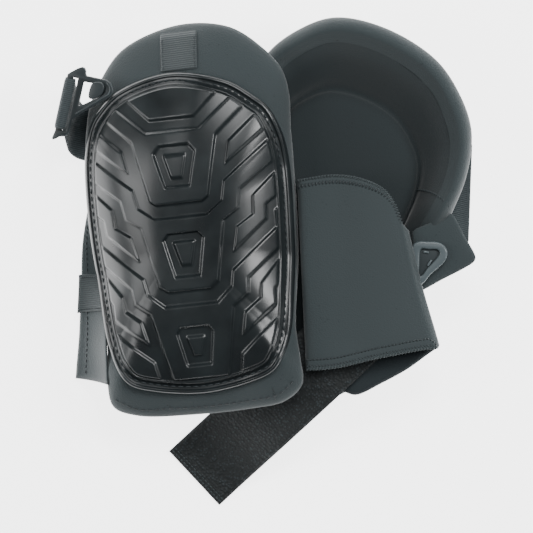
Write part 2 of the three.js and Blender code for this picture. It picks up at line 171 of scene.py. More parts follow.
def spline(points, samples, closed=False):
    """A centripetal curve through the points, with that many samples in each span."""
    p = np.asarray(points, float)
    p = np.vstack([p[-1:], p, p[:2]]) if closed else np.vstack([2 * p[0] - p[1], p, 2 * p[-1] - p[-2]])
    made = []
    for i in range(1, len(p) - 2):
        a, b, c, d = p[i - 1 : i + 3]
        t = [0]
        for q, r in ((a, b), (b, c), (c, d)):
            t.append(t[-1] + max(np.linalg.norm(r - q), 1e-6) ** 0.5)
        for x in np.linspace(t[1], t[2], samples, endpoint=False):
            ab = (t[1] - x) / (t[1] - t[0]) * a + (x - t[0]) / (t[1] - t[0]) * b
            bc = (t[2] - x) / (t[2] - t[1]) * b + (x - t[1]) / (t[2] - t[1]) * c
            cd = (t[3] - x) / (t[3] - t[2]) * c + (x - t[2]) / (t[3] - t[2]) * d
            abc = (t[2] - x) / (t[2] - t[0]) * ab + (x - t[0]) / (t[2] - t[0]) * bc
            bcd = (t[3] - x) / (t[3] - t[1]) * bc + (x - t[1]) / (t[3] - t[1]) * cd
            made.append((t[2] - x) / (t[2] - t[1]) * abc + (x - t[1]) / (t[2] - t[1]) * bcd)
    return np.array(made if closed else made + [p[-2]])


def reach(outline, angles):
    """How far the outline reaches from the pad's middle in each direction."""
    fine = spline(outline, 24, closed=True)
    at = np.arctan2(fine[:, 1], fine[:, 0])
    order = np.argsort(at)
    return np.interp(angles, at[order], np.hypot(*fine[order].T), period=2 * math.pi)


def front_press(angles):
    away = np.abs((np.degrees(angles) - 62 + 180) % 360 - 180)
    return 8 * (1 - smoothstep(away, 15, 35))


def rear_press(angles):
    away = np.abs((np.degrees(angles) - 115 + 180) % 360 - 180)
    return 12 * smoothstep(away, 35, 60)


def rim_and_edge(angles, press, outline):
    shin = smoothstep(-np.sin(angles), 0.3, 0.95)
    rim = np.maximum(SHIN_RISE * shin, press(angles))
    cap = reach(cap_outline, angles) - CAP_INSET
    overhang = np.maximum(reach(outline, angles) - cap - ROLL, 0) * OVERHANG_LIFT
    return shin, rim, rim + CAP_LIFT + (SHIN_CAP_LIFT - CAP_LIFT) * shin + overhang


def dome(share, edge):
    rise = np.clip((share - FLAT_SHARE) / (1 - FLAT_SHARE), 0, None)
    return edge + (CROWN - edge) * (1 - rise**DOME_POWER)


def skin(angles, press, outline):
    """The stations of the cross-section at each angle, as (angles, stations, 2)."""
    shin, rim, edge = rim_and_edge(angles, press, outline)
    cap, cover = reach(cap_outline, angles) - CAP_INSET, reach(outline, angles)
    lip = rim + ROLL * 0.8
    inner = lip + (INNER_FLOOR - lip) * shin
    zero = np.zeros_like(angles)
    low = cover * FLOOR_SHARE
    top = CROWN - COVER_SINK
    stations = [(zero, zero + top), (cap * FLAT_SHARE, zero + top)]
    stations += [(cap * s, dome(s, edge) - COVER_SINK) for s in (0.5, 0.75, 0.9)]
    stations += [(cap, edge), (cover, rim + ROLL * 1.1), (cover - ROLL * 0.3, rim + ROLL * 0.35)]
    under = rim + ROLL * 0.35
    stations += [(cover - ROLL, rim), (cover - ROLL * 1.55, under + (inner - 1 - under) * shin)]
    stations += [(cover - ROLL * 2.1, inner)]
    stations += [(low + (cover - ROLL * 2.1 - low) * 0.35, INNER_FLOOR - 5 * (1 - shin))]
    crease = low + CREASE_OUT
    swell = FLOOR_SWELL * (1 - shin)
    stations += [(crease, zero + INNER_FLOOR), (crease - 4, INNER_FLOOR - 0.55 * swell)]
    stations += [(low * 0.5, INNER_FLOOR - swell), (zero, zero + INNER_FLOOR - FLOOR_SWELL * 0.7)]
    return np.stack([np.stack(s, axis=1) for s in stations], axis=1)


# Where each pad lies, in the pair's frame.
PAIR_SHIFT = Vector((0.105, -0.043, 0))
front_lean, front_pitch, front_turn = math.atan(0.17), math.atan(0.06), math.radians(6.2)
front_place = Matrix.Translation(Vector((-45, 23, 18)) + PAIR_SHIFT)
front_place = front_place @ Matrix.Rotation(front_turn, 4, "Z") @ Matrix.Rotation(-front_lean, 4, "Y")
front_place = front_place @ Matrix.Rotation(front_pitch, 4, "X")
rear_place = Matrix.Translation(Vector((39.5, 29, CROWN + CAP_STAND)) + PAIR_SHIFT)
rear_place = rear_place @ Matrix.Rotation(math.radians(-20), 4, "Z") @ Matrix.Rotation(math.pi, 4, "Y")


def placed(points, place):
    m = np.array(place)
    return np.asarray(points) @ m[:3, :3].T + m[:3, 3]


def polar_piece(name, lines, angles, place, into_cup=False):
    """A surface swept round the pad from one line of (r, w) at each angle, starting on its axis."""
    n = len(lines)
    ring = lines[:, 1:]
    x = ring[..., 0] * np.cos(angles)[:, None]
    y = ring[..., 0] * np.sin(angles)[:, None]
    points = np.stack([x, y, ring[..., 1]], axis=2).reshape(-1, 3)
    rows = ring.shape[1]
    faces = [
        (i * rows + j, i * rows + j + 1, (i + 1) % n * rows + j + 1, (i + 1) % n * rows + j)
        for i in range(n)
        for j in range(rows - 1)
    ]
    points = np.vstack([points, [0, 0, lines[0, 0, 1]]])
    faces += [(len(points) - 1, i * rows, (i + 1) % n * rows) for i in range(n)]
    if into_cup:
        faces = [f[::-1] for f in faces]
    return mesh_piece(name, placed(points, place), faces)


def noise_field(x, y, scale, seed):
    """Slow, smooth ups and downs from a few waves, between about -1 and 1."""
    draw = np.random.default_rng(seed)
    total = np.zeros_like(x)
    for _ in range(6):
        heading = draw.uniform(0, 2 * math.pi)
        wave = scale * draw.uniform(0.7, 1.5)
        shift = draw.uniform(0, 2 * math.pi)
        total += np.sin((x * math.cos(heading) + y * math.sin(heading)) * 2 * math.pi / wave + shift)
    return total / 3.5


def ramp(material, factor, dark, light, low=0.0, high=1.0):
    """Gives the material a base colour that runs from a dark to a light shade with the factor."""
    tone = node(material, "ShaderNodeValToRGB", None, {"Fac": factor})
    for element, at, shade in zip(tone.color_ramp.elements, (low, high), (dark, light)):
        element.position = at
        element.color = linear(shade)
    link(material, tone.outputs["Color"], material.node_tree.nodes["Principled BSDF"].inputs["Base Color"])


def relief(material, height, strength, distance, settings=None):
    """Gives the material's surface a fine relief, up to that distance in metres."""
    inputs = {"Height": height, "Strength": strength, "Distance": distance}
    bump = node(material, "ShaderNodeBump", settings, inputs)
    link(material, bump.outputs["Normal"], material.node_tree.nodes["Principled BSDF"].inputs["Normal"])


# Neoprene faced with nylon jersey: a dull charcoal knit with a faint nap that lightens at the edges.
# The knit's loops are 0.3 mm apart; they are drawn 1.1 mm apart so that they show.
def jersey(name, shade, light, knit_mm=1.1, sheen=0.35, rough=0.88):
    material, shader = new_material(name)
    place = node(material, "ShaderNodeTexCoord")
    knit = node(
        material,
        "ShaderNodeTexVoronoi",
        {"feature": "F1"},
        {"Vector": place.outputs["Object"], "Scale": 1000 / knit_mm, "Randomness": 0.85},
    )
    blotch = node(
        material,
        "ShaderNodeTexNoise",
        None,
        {"Vector": place.outputs["Object"], "Scale": 1000 / 14, "Detail": 4, "Roughness": 0.6},
    )
    fine = node(
        material,
        "ShaderNodeTexNoise",
        None,
        {"Vector": place.outputs["Object"], "Scale": 1000 / 2, "Detail": 3, "Roughness": 0.7},
    )
    both = node(
        material,
        "ShaderNodeMath",
        {"operation": "MULTIPLY_ADD"},
        {0: fine.outputs["Fac"], 1: 1.6, 2: 0.0},
    )
    link(material, blotch.outputs["Fac"], both.inputs[2])
    ramp(material, both.outputs[0], shade, light, 0.85)
    relief(material, knit.outputs["Distance"], 0.35, 0.0004)
    shader.inputs["Roughness"].default_value = rough
    shader.inputs["Sheen Weight"].default_value = sheen
    shader.inputs["Sheen Roughness"].default_value = 0.5
    shader.inputs["Specular IOR Level"].default_value = 0.25
    return material


cover_jersey = jersey("nylon_jersey_on_neoprene", "#22282a", "#353d3f")
# The cup lining is drawn in darker tones than the cover's jersey, as painted shade inside the cup.
cup_jersey_painted_shade = jersey("nylon_cup_lining_painted_shade", "#13181a", "#1f2628", 0.9)
# The lining's colour is painted shade: lighter where the rim turns over, and darker down the wall into the
# fold, where the cup lies in shade.
painted_shade_and_mottle = node(cup_jersey_painted_shade, "ShaderNodeAttribute", {"attribute_name": "painted_cup_shade"})
painted_shade_blend = node(cup_jersey_painted_shade, "ShaderNodeMix", {"data_type": "RGBA"})
painted_shade_blend.inputs[6].default_value = linear("#2b3234")
link(cup_jersey_painted_shade, painted_shade_and_mottle.outputs["Fac"], painted_shade_blend.inputs[0])
link(cup_jersey_painted_shade, cup_jersey_painted_shade.node_tree.nodes["Color Ramp"].outputs["Color"], painted_shade_blend.inputs[7])
link(cup_jersey_painted_shade, painted_shade_blend.outputs[2], cup_jersey_painted_shade.node_tree.nodes["Principled BSDF"].inputs["Base Color"])

# The covers: jersey-faced neoprene, cut in panels, sewn, and turned over the rim of the foam.
# They are drawn a little slack between the cap and the rim.
ANGLES = np.linspace(0, 2 * math.pi, 288, endpoint=False)
OUTERMOST, SEAM, FLOOR_EDGE = 6, 10, 12
SPAN = 7
pads = {
    "front": (front_press, FRONT_COVER, front_place),
    "rear": (rear_press, REAR_COVER, rear_place),
}


def smooth_lines(stations, start, stop):
    return np.stack([spline(s, SPAN)[start * SPAN : stop * SPAN + 1] for s in stations])


def slack(x, y):
    """The ups and downs of the cover between the cap and the rim."""
    return 0.7 * noise_field(x, y, 46, 3) * smoothstep(np.hypot(x, y), 60, 80)


def on_rim(side, points):
    """Points of the plan, dropped on to the underside of a pad's rolled rim."""
    press, outline, _ = pads[side]
    points = np.asarray(points, float)
    angles = np.arctan2(points[:, 1], points[:, 0])
    lines = smooth_lines(skin(angles, press, outline), OUTERMOST, FLOOR_EDGE)[:, ::-1]
    height = [np.interp(math.hypot(*p), line[:, 0], line[:, 1]) for p, line in zip(points, lines)]
    return np.column_stack([points, height])


def on_cover(side, points):
    """Points of the plan, dropped on to the outside of a pad's cover."""
    press, outline, _ = pads[side]
    points = np.asarray(points, float)
    x, y = points[:, 0], points[:, 1]
    lines = smooth_lines(skin(np.arctan2(y, x), press, outline), 0, OUTERMOST)
    height = [np.interp(math.hypot(a, b), line[:, 0], line[:, 1]) for a, b, line in zip(x, y, lines)]
    return np.column_stack([points, height + slack(x, y)])


for side, (press, outline, place) in pads.items():
    stations = skin(ANGLES, press, outline)
    lines = smooth_lines(stations, 0, SEAM)
    x = lines[..., 0] * np.cos(ANGLES)[:, None]
    y = lines[..., 0] * np.sin(ANGLES)[:, None]
    lines[..., 1] += slack(x, y)
    cover = polar_piece(f"{side}_cover_jersey", lines, ANGLES, place)
    cover.data.materials.append(cover_jersey)
    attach(cover, f"{side}_pad")
    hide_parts(f"{side}_cover")

    # The cup inside: a wall panel and a floor panel, sewn together at the floor's edge.
    lines = smooth_lines(stations, SEAM, stations.shape[1] - 1)[:, ::-1]
    x = lines[..., 0] * np.cos(ANGLES)[:, None]
    y = lines[..., 0] * np.sin(ANGLES)[:, None]
    from_seam = stations[:, SEAM, 0][:, None] - lines[..., 0]
    ease = smoothstep(lines[..., 0], 4, 20) * smoothstep(from_seam, 0, 9)
    lines[..., 1] += 0.8 * noise_field(x, y, 60, 8) * ease
    cup = polar_piece(f"{side}_cup_lining", lines, ANGLES, place, into_cup=True)
    # Painted shade in the lining: it darkens with distance from the seam, down the wall, and by half as much
    # on the floor.
    on_floor = smoothstep(stations[:, FLOOR_EDGE, 0][:, None] - lines[..., 0], 1, 9)
    depth = smoothstep(from_seam, 0, 15) * (1 - 0.5 * on_floor)
    painted_cup_shade = cup.data.attributes.new("painted_cup_shade", "FLOAT", "POINT")
    painted_cup_shade.data.foreach_set("value", [*depth[:, 1:].ravel(), 0.5])
    cup.data.materials.append(cup_jersey_painted_shade)
    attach(cup, f"{side}_pad")
    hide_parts(f"{side}_liner")

# The caps: compression-moulded PVC, satin black, with a deep emboss of armour panels.
# The mould gives the flats a faint grain and rounds every step; the rim ends in a polished bead.
PANEL_RISE, STEP_WIDTH, FRAME_RISE = 2.2, 1.5, 1.7
crown_field = [(-36, 96), (-15.7, 77), (15.7, 77), (36, 96), (34, 112), (-34, 112)]
thigh_side = [(46, 92.5), (18.2, 69.8)]
thigh_low = [(16, 20.5), (20.2, 23.5), (29.3, 63.6), (57, 87.5)]
knee_side = [(72, 64.9), (30.8, 33), (28, 20.2), (17.5, 12.3)]
knee_low = [(14.5, -38), (20.6, -33.3), (28.4, 6.4), (38.8, 13.1), (41.2, 25.8), (72, 47.5)]
shin_side = [(74, 23), (60, 9), (59.7, -2.4), (30, -27), (28, -37.5), (17.7, -46.7)]
shin_low = [(19, -97.5), (28.7, -51.2), (38.9, -43.6), (40.2, -33.5), (73, -6.2)]
diamond = [(64, 81.8), (36.6, 59), (33.1, 43.3), (71, 71.5)]
chevron = [(74, 44.8), (47.7, 21), (46.5, 8.5), (35.8, 1.7), (31.8, -15.7), (55, 3.5)]
chevron += [(56, 13.5), (72, 24.7)]
low_chevron = [(72, -8.3), (46.8, -37.8), (45.4, -47.6), (35, -55.4), (31.4, -72), (55.5, -53.5)]
low_chevron += [(55.8, -43), (72, -25)]
corner = [(72, -43), (61.5, -43), (58.5, -58.5), (29.6, -83), (27, -97), (29, -112), (72, -112)]


def mirrored(points):
    return [(-u, v) for u, v in points]


across = [crown_field]
across += [half[0] + mirrored(half[0])[::-1] + mirrored(half[1])[::-1] + half[1] for half in (
    (thigh_side, thigh_low),
    (knee_side, knee_low),
    (shin_side, shin_low),
)]
sides = [diamond, chevron, low_chevron, corner]
panels = across + sides + [mirrored(p) for p in sides]
frames = [
    ((10.5, 60.5), (15, 55), (9, 31.5), (7, 52.7), (3.2, 38.4)),
    ((10.4, 1.8), (14.3, -2.8), (8.9, -28.6), (6.8, -5), (2.8, -20)),
    ((9.9, -61.2), (12.9, -65.6), (8.7, -88.6), (5.7, -69), (2.4, -81)),
]


def inside_by(x, y, outline):
    """How far each point lies inside an outline, below nought outside it."""
    a = np.asarray(outline, float)
    b = np.roll(a, -1, axis=0)
    nearest = np.full(x.shape, 1e9)
    crossings = np.zeros(x.shape, bool)
    for (ax, ay), (bx, by) in zip(a, b):
        dx, dy = bx - ax, by - ay
        t = np.clip(((x - ax) * dx + (y - ay) * dy) / (dx * dx + dy * dy), 0, 1)
        nearest = np.minimum(nearest, np.hypot(x - ax - t * dx, y - ay - t * dy))
        if ay != by:
            crossings ^= ((ay > y) != (by > y)) & (x < dx * (y - ay) / (by - ay) + ax)
    return np.where(crossings, nearest, -nearest)


fine_cap_outline = spline(cap_outline, 14, closed=True)
BEAD, GROOVE, RIDGE = 3.0, 3.6, 2.0


def emboss(x, y):
    """The height of the moulded pattern above the ground of the cap."""
    edge = inside_by(x, y, fine_cap_outline)
    height = np.zeros_like(x)
    for panel in panels:
        height = np.maximum(height, smoothstep(inside_by(x, y, panel), -0.4, STEP_WIDTH))
    height *= PANEL_RISE
    for top, shoulder, foot, inner_top, inner_foot in frames:
        six = [top, shoulder, foot, (-foot[0], foot[1]), (-shoulder[0], shoulder[1]), (-top[0], top[1])]
        four = [inner_top, inner_foot, (-inner_foot[0], inner_foot[1]), (-inner_top[0], inner_top[1])]
        sunk = smoothstep(inside_by(x, y, six), -0.2, STEP_WIDTH)
        height -= (PANEL_RISE + 0.3) * sunk
        height += FRAME_RISE * smoothstep(inside_by(x, y, four), -1.4, 0.6)
    margin = BEAD + GROOVE + RIDGE
    field = smoothstep(edge, margin - 0.3, margin + STEP_WIDTH)
    bead = np.sqrt(np.clip(1 - ((edge - BEAD / 2) / (BEAD / 2)) ** 2, 0, 1)) * 1.5
    ridge = np.exp(-(((edge - BEAD - GROOVE - RIDGE / 2) / (RIDGE * 0.42)) ** 2)) * 1.0
    groove = np.exp(-(((edge - BEAD - GROOVE / 2) / (GROOVE * 0.45)) ** 2)) * 0.9
    return height * field + bead + ridge - groove


pvc, shader = new_material("compression_moulded_pvc")
place_node = node(pvc, "ShaderNodeTexCoord")
grain = node(
    pvc,
    "ShaderNodeTexNoise",
    None,
    {"Vector": place_node.outputs["Object"], "Scale": 1000 / 1.3, "Detail": 3, "Roughness": 0.6},
)
haze = node(
    pvc,
    "ShaderNodeTexNoise",
    None,
    {"Vector": place_node.outputs["Object"], "Scale": 1000 / 30, "Detail": 3, "Roughness": 0.55},
)
ramp(pvc, haze.outputs["Fac"], "#14191b", "#1d2426", 0.35, 0.7)
dull = node(
    pvc,
    "ShaderNodeMapRange",
    None,
    {"Value": haze.outputs["Fac"], "From Min": 0.3, "From Max": 0.7, "To Min": 0.27, "To Max": 0.36},
)
link(pvc, dull.outputs["Result"], shader.inputs["Roughness"])
relief(pvc, grain.outputs["Fac"], 0.12, 0.0002)
shader.inputs["IOR"].default_value = 1.53
shader.inputs["Specular IOR Level"].default_value = 0.62


def cap_surface(x, y, press, outline, stand):
    """The height of the cap over a point of the pad's plan, without the emboss."""
    angles = np.arctan2(y, x)
    shin, rim, edge = rim_and_edge(angles, press, outline)
    share = np.hypot(x, y) / reach(cap_outline, angles)
    return dome(share, edge) + stand


for side, around, rings in (("front", 760, 150), ("rear", 320, 70)):
    press, outline, place = pads[side]
    angles = np.linspace(0, 2 * math.pi, around, endpoint=False)
    share = np.concatenate([np.linspace(0, 0.86, int(rings * 0.68))[:-1], np.linspace(0.86, 1, rings // 3)])
    radius = reach(cap_outline, angles)[:, None] * share[None, :]
    x, y = radius * np.cos(angles)[:, None], radius * np.sin(angles)[:, None]
    height = cap_surface(x, y, press, outline, cap_stand[side]) + emboss(x, y)
    drop = np.array([0.8, 1.4, 2.4, 3.0])
    tuck = np.array([0.15, 0.1, -0.5, -2.5])
    radius = np.concatenate([radius, radius[:, -1:] + tuck], axis=1)
    height = np.concatenate([height, height[:, -1:] - drop], axis=1)
    cap = polar_piece(f"{side}_cap_shell", np.stack([radius, height], axis=2), angles, place)
    cap.data.materials.append(pvc)
    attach(cap, f"{side}_pad")
    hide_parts(f"{side}_cap")

# Bonded nylon thread locks the cap to the cover: one row of stitches in the groove inside the bead.
def plied(name, ply_mm, dark, light, rough):
    """A plied sewing yarn, mottled at the size of its plies."""
    material, shader = new_material(name)
    place = node(material, "ShaderNodeTexCoord")
    plies = {"Vector": place.outputs["Object"], "Scale": 1000 / ply_mm, "Detail": 2}
    ply = node(material, "ShaderNodeTexNoise", None, plies)
    ramp(material, ply.outputs["Fac"], dark, light)
    shader.inputs["Roughness"].default_value = rough
    return material


thread = plied("bonded_nylon_thread", 0.5, "#15191b", "#3a4245", 0.62)


def stitches(name, path, normals, pitch, length, thick, lift=0.2, body="front_pad", slant=0, yarn=None):
    """A row of short thread loops along a path, each a bent capsule that dips at its ends.

    Slant turns each loop away from the path, in degrees.
    """
    path, normals = np.asarray(path, float), np.asarray(normals, float)
    steps = np.linalg.norm(np.diff(path, axis=0), axis=1)
    along = np.concatenate([[0], np.cumsum(steps)])

    def on_path(line, at):
        return np.array([np.interp(at, along, line[:, k]) for k in range(3)])

    count = max(2, int(along[-1] / pitch))
    points, faces = [], []
    corners, parts = 6, 5
    for i in range(count):
        at = (i + 0.5) * along[-1] / count
        up = on_path(normals, at)
        up /= np.linalg.norm(up)
        forward = on_path(path, at + 0.4) - on_path(path, at - 0.4)
        sideways = np.cross(up, forward)
        sideways /= np.linalg.norm(sideways)
        forward = np.cross(sideways, up)
        heading = math.cos(math.radians(slant)) * forward + math.sin(math.radians(slant)) * sideways
        beside = np.cross(up, heading)
        for t in np.linspace(-1, 1, parts):
            size = thick / 2 * math.sqrt(max(1 - t * t * 0.9, 0.05))
            middle = on_path(path, at) + heading * t * length / 2 + up * (lift - thick * 0.25 * t * t)
            for k in range(corners):
                turn = 2 * math.pi * k / corners
                points.append(middle + size * (math.cos(turn) * beside + math.sin(turn) * up))
        base = i * corners * parts
        for j in range(parts - 1):
            for k in range(corners):
                a, b = base + j * corners + k, base + j * corners + (k + 1) % corners
                faces.append((a, b, b + corners, a + corners))
        faces.append(tuple(base + k for k in reversed(range(corners))))
        faces.append(tuple(base + (parts - 1) * corners + k for k in range(corners)))
    row = mesh_piece(name, points, faces)
    row.data.materials.append(yarn or thread)
    if body:
        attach(row, body)
    return row


def inward(outline, by):
    """The outline moved in towards the pad's middle, square to its own line."""
    p = np.asarray(outline, float)
    ahead = np.roll(p, -1, axis=0) - np.roll(p, 1, axis=0)
    ahead /= np.linalg.norm(ahead, axis=1)[:, None]
    side_way = np.stack([-ahead[:, 1], ahead[:, 0]], axis=1)
    facing = np.sign((side_way * -p).sum(1))[:, None]
    return p + side_way * facing * by


for side, (press, outline, place) in pads.items():
    groove_line = inward(fine_cap_outline, BEAD + GROOVE / 2)
    groove_line = np.vstack([groove_line, groove_line[:1]])
    height = cap_surface(*groove_line.T, press, outline, cap_stand[side]) + emboss(*groove_line.T)
    line = placed(np.column_stack([groove_line, height]), place)
    up = np.tile(np.array(place)[:3, 2], (len(line), 1))
    row = stitches(f"{side}_cap_stitches", line, up, 5.0, 3.5, 1.15, 0.35, f"{side}_pad")
    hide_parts(f"{side}_cap_stitching")

# Inside each pad: a moulded block of closed-cell polyurethane foam that fills the cover.
# Its skin is finely pitted and dull.
foam_skin, shader = new_material("closed_cell_pu_foam")
place_node = node(foam_skin, "ShaderNodeTexCoord")
cells = node(
    foam_skin,
    "ShaderNodeTexVoronoi",
    {"feature": "SMOOTH_F1"},
    {"Vector": place_node.outputs["Object"], "Scale": 1000 / 1.2},
)
ramp(foam_skin, cells.outputs["Distance"], "#5c6061", "#74797a")
relief(foam_skin, cells.outputs["Distance"], 0.4, 0.0003)
shader.inputs["Roughness"].default_value = 0.92
FOAM_INSET = 3.2

for side, (press, outline, place) in pads.items():
    stations = skin(ANGLES[::3], press, outline)
    stations[:, FLOOR_EDGE:, 1] = INNER_FLOOR
    lines = smooth_lines(stations, 0, stations.shape[1] - 1)
    ahead = np.gradient(lines, axis=1)
    ahead /= np.linalg.norm(ahead, axis=2)[..., None]
    lines = lines + FOAM_INSET * np.stack([ahead[..., 1], -ahead[..., 0]], axis=2)
    lines[..., 0] = np.clip(lines[..., 0], 0, None)
    core = polar_piece(f"{side}_foam_block", lines, ANGLES[::3], place)
    core.data.materials.append(foam_skin)
    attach(core, f"{side}_pad")
    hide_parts(f"{side}_foam_core")

# The gel insert over the kneecap: clear thermoplastic gel, poured, with slow cloudy streaks.
gel, shader = new_material("poured_thermoplastic_gel")
place_node = node(gel, "ShaderNodeTexCoord")
cloud = node(
    gel, "ShaderNodeTexNoise", None, {"Vector": place_node.outputs["Object"], "Scale": 1000 / 18, "Detail": 3}
)
ramp(gel, cloud.outputs["Fac"], "#7f9fa4", "#9db6ba")
shader.inputs["Roughness"].default_value = 0.2
shader.inputs["Subsurface Weight"].default_value = 0.4
shader.inputs["Subsurface Radius"].default_value = (0.008, 0.01, 0.01)
for side in pads:
    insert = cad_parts[f"{side}_gel_insert"]
    insert.data.materials.clear()
    insert.data.materials.append(gel)

# Top-stitching on the shell-up pad's cover: the hem that closes it at the shin, and a short seam.
HEM_INSET = 6
hem = [(-66, -111), (-49, -120), (-27, -121.7), (-3, -123), (29, -122), (52, -119), (63, -111)]
hem_line = spline(hem, 24)
hem_line = hem_line * (1 - HEM_INSET / np.linalg.norm(hem_line, axis=1))[:, None]
pad_up = np.array(front_place)[:3, 2]


def cover_row(name, plan, side="front", pitch=4.6, length=3.3, thick=1.0, lift=0.25):
    """A row of stitches sewn along a line of the plan, on the outside of a cover."""
    place = pads[side][2]
    line = placed(on_cover(side, plan), place)
    up = np.array(place)[:3, 2]
    return stitches(name, line, np.tile(up, (len(line), 1)), pitch, length, thick, lift, f"{side}_pad")


cover_row("front_hem_stitches", hem_line)
seam_line = np.column_stack([np.full(12, 46.0), np.linspace(-108.5, -117.5, 12)])
cover_row("front_seam_stitches", seam_line, pitch=1.6, length=1.1, thick=0.8)

# The webbing tab at the thigh end: woven polypropylene, box-stitched over the cover.
# The weave is 0.6 mm; its ribs are drawn 1.4 mm apart so that they show.
def woven(name, turn, ribs, flecks, shades, low, height, rough, sheen):
    """A ribbed weave. Ribs are (spacing in mm, distortion, detail), and flecks are (size in mm, detail)."""
    material, shader = new_material(name)
    place = node(material, "ShaderNodeTexCoord").outputs["Object"]
    turned = node(material, "ShaderNodeMapping", None, {"Vector": place, "Rotation": (0, 0, turn)})
    spacing, distortion, detail = ribs
    scale = 2 * math.pi / 20 * 1000 / spacing
    waves = node(
        material,
        "ShaderNodeTexWave",
        {"bands_direction": "Y", "wave_profile": "SIN"},
        {"Vector": turned.outputs["Vector"], "Scale": scale, "Distortion": distortion, "Detail": detail},
    )
    size, fleck_detail = flecks
    noise = {"Vector": place, "Scale": 1000 / size, "Detail": fleck_detail}
    fleck = node(material, "ShaderNodeTexNoise", None, noise)
    sources = {0: waves.outputs["Fac"], 1: fleck.outputs["Fac"]}
    both = node(material, "ShaderNodeMath", {"operation": "ADD"}, sources)
    ramp(material, both.outputs[0], *shades, low)
    relief(material, both.outputs[0], height, 0.0003)
    shader.inputs["Roughness"].default_value = rough
    shader.inputs["Sheen Weight"].default_value = sheen
    return material


webbing = woven(
    "woven_polypropylene_webbing",
    turn=-front_turn,
    ribs=(1.4, 0.6, 2),
    flecks=(0.8, 2),
    shades=("#262d2f", "#3b4345"),
    low=0.55,
    height=0.5,
    rough=0.8,
    sheen=0.2,
)


def face_outwards(mesh, weld=0):
    """Turns a closed mesh's faces outwards, after joining points that lie closer than weld, in metres."""
    drawn = bmesh.new()
    drawn.from_mesh(mesh)
    if weld:
        bmesh.ops.remove_doubles(drawn, verts=drawn.verts, dist=weld)
    bmesh.ops.recalc_face_normals(drawn, faces=drawn.faces)
    drawn.to_mesh(mesh)
    drawn.free()


def slab(name, centre, up, wall):
    """A strip of cloth from a grid of points on its middle surface: two faces and rounded edges."""
    centre, up = np.asarray(centre, float), np.asarray(up, float)
    up = up / np.linalg.norm(up, axis=2)[..., None]
    rows, cols = centre.shape[:2]
    ease = np.ones((rows, cols))
    ease[:, 0] = ease[:, -1] = ease[0] = ease[-1] = 0.35
    top = centre + up * wall / 2 * ease[..., None]
    under = centre - up * wall / 2 * ease[..., None]
    points = np.vstack([top.reshape(-1, 3), under.reshape(-1, 3)])
    half = rows * cols
    faces = []
    for i in range(rows - 1):
        for j in range(cols - 1):
            a, b, c, d = i * cols + j, i * cols + j + 1, (i + 1) * cols + j + 1, (i + 1) * cols + j
            faces += [(a, b, c, d), (a + half, d + half, c + half, b + half)]
    border = [(i, 0) for i in range(rows)] + [(rows - 1, j) for j in range(1, cols)]
    border += [(i, cols - 1) for i in range(rows - 2, -1, -1)] + [(0, j) for j in range(cols - 2, 0, -1)]
    ring = [i * cols + j for i, j in border]
    for a, b in zip(ring, ring[1:] + ring[:1]):
        faces.append((a, b, b + half, a + half))
    piece = mesh_piece(name, points, faces)
    face_outwards(piece.data)
    piece["quads"] = (rows - 1) * (cols - 1)
    return piece


u, v = np.meshgrid(np.linspace(-6.5, 19.5, 28), np.linspace(108.5, 134.4, 30))
flat = on_cover("front", np.column_stack([u.ravel(), v.ravel()]))
flat[:, 2] += 0.9
flat[:, 2] -= 1.6 * smoothstep(flat[:, 1], 130, 134.4)
tab_grid = placed(flat, front_place).reshape(30, 28, 3)
tab = slab("front_top_webbing_tab", tab_grid, np.tile(pad_up, (30, 28, 1)), 1.4)
tab.data.materials.append(webbing)
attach(tab, "front_pad")
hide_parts("front_top_webbing")
for hand, at in (("left", -5), ("right", 18)):
    line = np.column_stack([np.full(16, float(at)), np.linspace(109.5, 130, 16)])
    cover_row(f"front_tab_stitches_{hand}", line, pitch=2.6, length=2, thick=0.7, lift=1.75)

# The side wing of the shell-up pad: a flap of the same laminate, hemmed, on the pad's outer side.
# A short keeper of webbing is bar-tacked across it.
wing_in = spline([(-69, 22), (-67, 0), (-65, -30), (-64, -60), (-66, -96)], 10)
wing_out = spline([(-72, 21), (-78, 0), (-82.6, -29), (-88.2, -62), (-94, -91.5)], 10)
share = np.linspace(0, 1, 16)[None, :, None]
grid = wing_in[:, None, :] * (1 - share) + wing_out[:, None, :] * share
sewn_at = on_rim("front", wing_in)[:, 2:] + 3
rise = 5.6 + 0.7 * noise_field(grid[..., 0], grid[..., 1], 38, 21) + sewn_at * (1 - share[..., 0]) ** 1.6
rise = rise - 1.3 * share[..., 0] ** 3
grid = np.concatenate([grid, rise[..., None]], axis=2)
flap = slab(
    "front_side_wing_flap",
    placed(grid.reshape(-1, 3), front_place).reshape(grid.shape),
    np.tile(pad_up, grid.shape[:2] + (1,)),
    3,
)
flap.data.materials.append(cover_jersey)
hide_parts("front_side_wing")


def along_grid(grid, row_share, column_share):
    """A point of a grid, by its share of the way along and across."""
    i, j = row_share * (grid.shape[0] - 1), column_share * (grid.shape[1] - 1)
    a, b = int(min(i, grid.shape[0] - 2)), int(min(j, grid.shape[1] - 2))
    p, q = i - a, j - b
    low = grid[a, b] * (1 - q) + grid[a, b + 1] * q
    return low * (1 - p) + (grid[a + 1, b] * (1 - q) + grid[a + 1, b + 1] * q) * p


